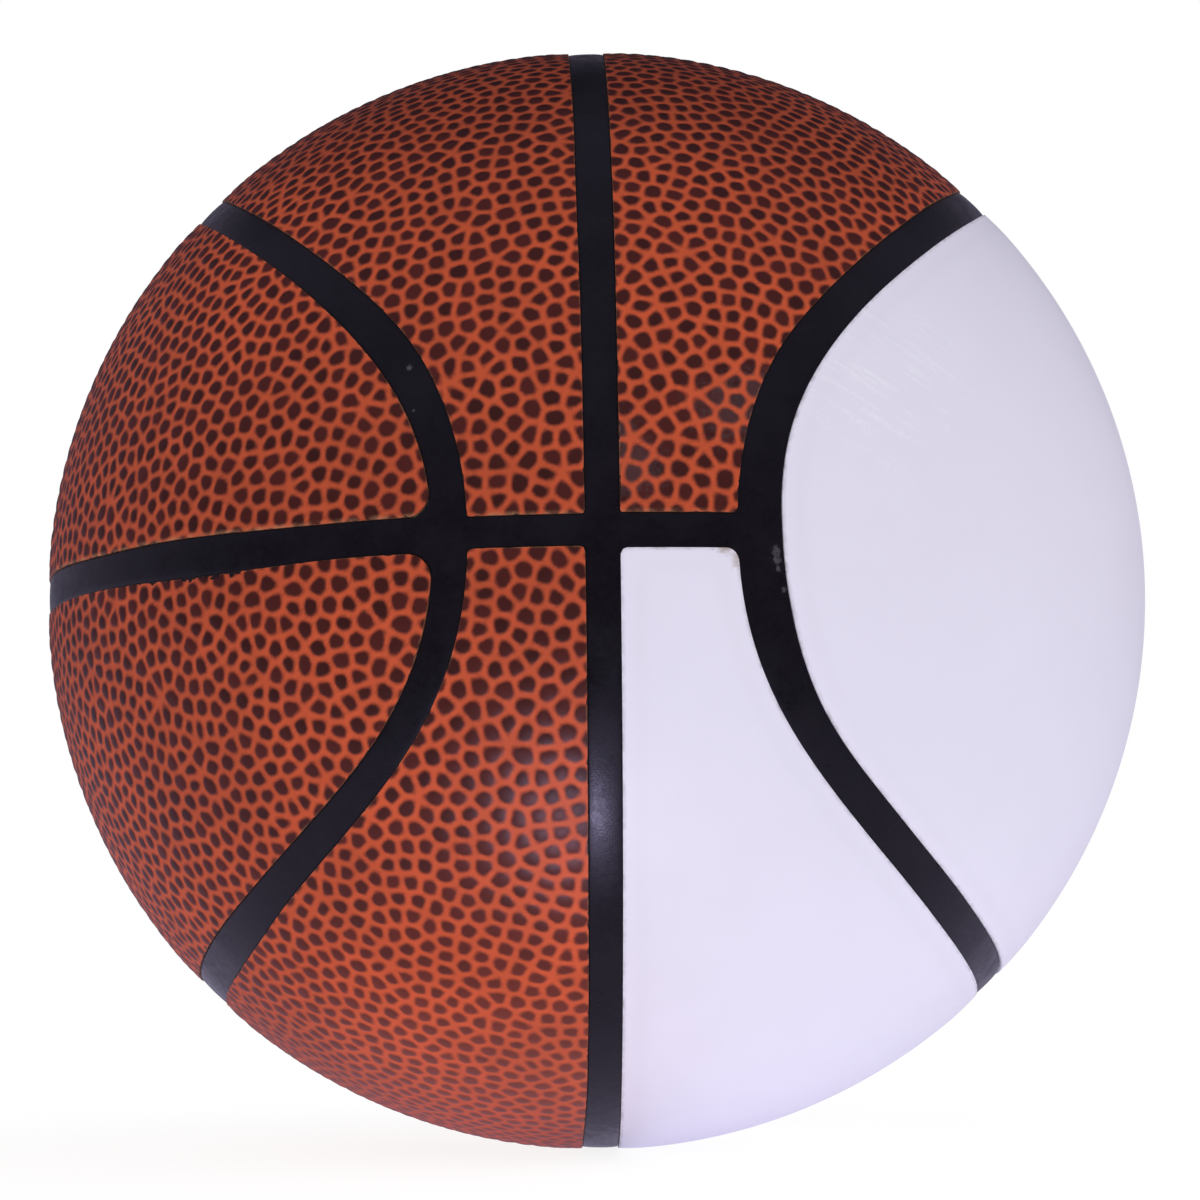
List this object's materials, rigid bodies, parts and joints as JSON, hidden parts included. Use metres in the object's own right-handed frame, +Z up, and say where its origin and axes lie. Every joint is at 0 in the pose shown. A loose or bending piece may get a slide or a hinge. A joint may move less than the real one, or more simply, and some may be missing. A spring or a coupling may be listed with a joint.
{
  "type": "basketball",
  "caption": "Laminated basketball with white and brown cover panels set between black channel ribs, over a rubber carcass with an inner bladder and a needle valve.",
  "frame": {"origin": "centre of the ball", "axes": "+Z up, the level channel lies in the plane Z = 0 and the upright channel in the plane X = 0; +X runs through the middle of the white oval panel; the front crossing of the channels points along -Y and the valve is on the back, +Y"},
  "size_m": [0.238, 0.2372, 0.2376],
  "materials": {
    "cover_brown": "matt pebbled",
    "cover_white": "smooth satin",
    "channel_rubber": "satin",
    "bladder_rubber": "matt",
    "plug_rubber": "matt",
    "thread": "wound nylon thread",
    "backing": "woven cotton"
  },
  "bodies": {
    "root": {"bladder": "bladder_rubber", "valve_housing": "channel_rubber", "valve_plug": "plug_rubber", "thread_winding": "thread", "carcass": "channel_rubber", "backing_band_upper_left": "backing", "backing_band_upper_right": "backing", "backing_band_lower_left": "backing", "backing_band_lower_right": "backing", "backing_oval_left_upper": "backing", "backing_oval_left_lower": "backing", "backing_oval_right": "backing", "cover_band_upper_left": "cover_brown", "cover_band_upper_right": "cover_brown", "cover_band_lower_left": "cover_brown", "cover_band_lower_right": "cover_white", "cover_oval_left_upper": "cover_brown", "cover_oval_left_lower": "cover_brown", "cover_oval_right": "cover_white"}
  },
  "joints": []
}
